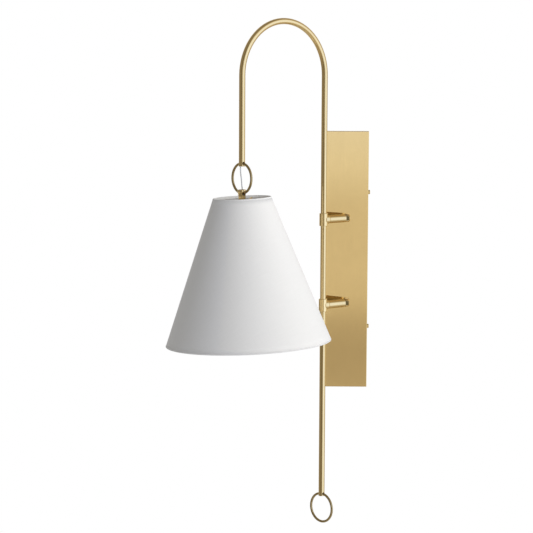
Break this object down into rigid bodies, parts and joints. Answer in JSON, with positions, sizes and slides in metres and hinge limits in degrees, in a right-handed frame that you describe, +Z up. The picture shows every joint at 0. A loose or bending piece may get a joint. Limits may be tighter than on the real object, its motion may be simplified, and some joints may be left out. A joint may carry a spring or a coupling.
{
  "type": "swing arm wall sconce",
  "caption": "Swing arm wall sconce with a tall rectangular backplate, an arched tube on knuckle-jointed posts, a linen cone shade hung from a ring, and a pull ring.",
  "frame": {"origin": "centre of the backplate's rear opening, on the wall", "axes": "+Z up, +X to the right as seen from the room, +Y into the wall"},
  "size_m": [0.3324, 0.3105, 0.8369],
  "materials": {
    "brass": "satin brushed",
    "brass_screw": "satin",
    "contact_metal": "plain",
    "steel": "zinc plated",
    "frame_wire": "white",
    "earth_green": "green",
    "terminal_plastic": "ivory",
    "phenolic": "black moulded",
    "linen": "white linen weave",
    "shade_backing": "matt white film",
    "lead_sheath": "silver grey"
  },
  "bodies": {
    "backplate": {"backplate_pan": "brass", "mounting_bracket": "steel", "side_screws": "brass", "ground_screw": "earth_green", "terminal_block": "terminal_plastic", "terminal_screws": "steel", "upper_wall_boss": "brass", "lower_wall_boss": "brass", "boss_washers": "steel", "boss_lock_nuts": "steel", "upper_pivot_screws": "brass_screw", "lower_pivot_screws": "brass_screw", "plate_lead": "lead_sheath"},
    "swing_arm": {"upper_post": "brass", "lower_post": "brass", "upper_collar": "brass", "lower_collar": "brass", "collar_set_screws": "brass_screw", "arm_tube": "brass", "lead_grommet": "phenolic", "arm_lead": "lead_sheath"},
    "hanger": {"hanger_ring": "brass", "ring_lead": "lead_sheath"},
    "pendant": {"hub": "brass", "threaded_nipple": "steel", "spider_fitter": "brass", "spider_nut": "steel", "socket_cap": "brass", "socket_body": "phenolic", "screw_shell": "contact_metal", "centre_contact": "contact_metal", "socket_rivets": "steel", "shade_liner": "shade_backing", "shade_fabric": "linen", "top_hem": "linen", "bottom_hem": "linen", "bottom_wire": "frame_wire", "pendant_lead": "lead_sheath"},
    "pull": {"pull_ring": "brass"}
  },
  "joints": [
    {"name": "arm_swing", "type": "hinge", "parent": "backplate", "child": "swing_arm", "pos_m": [0, -0.033, 0], "axis": [0, 0, 1], "range_deg": [-8, 108]},
    {"name": "hanger_swing", "type": "hinge", "parent": "swing_arm", "child": "hanger", "pos_m": [-0.17251, -0.17776, 0.1686], "axis": [0.6428, -0.766, 0], "range_deg": [-15, 2], "deforming": ["ring_lead"]},
    {"name": "pendant_swing", "type": "hinge", "parent": "hanger", "child": "pendant", "pos_m": [-0.17251, -0.17776, 0.1212], "axis": [0.642, -0.766, 0.0308], "range_deg": [-12, 3]},
    {"name": "pull_swing", "type": "hinge", "parent": "swing_arm", "child": "pull", "pos_m": [-0.03983, -0.06642, -0.3885], "axis": [0.712, -0.7022, 0], "range_deg": [-165, 165]}
  ]
}
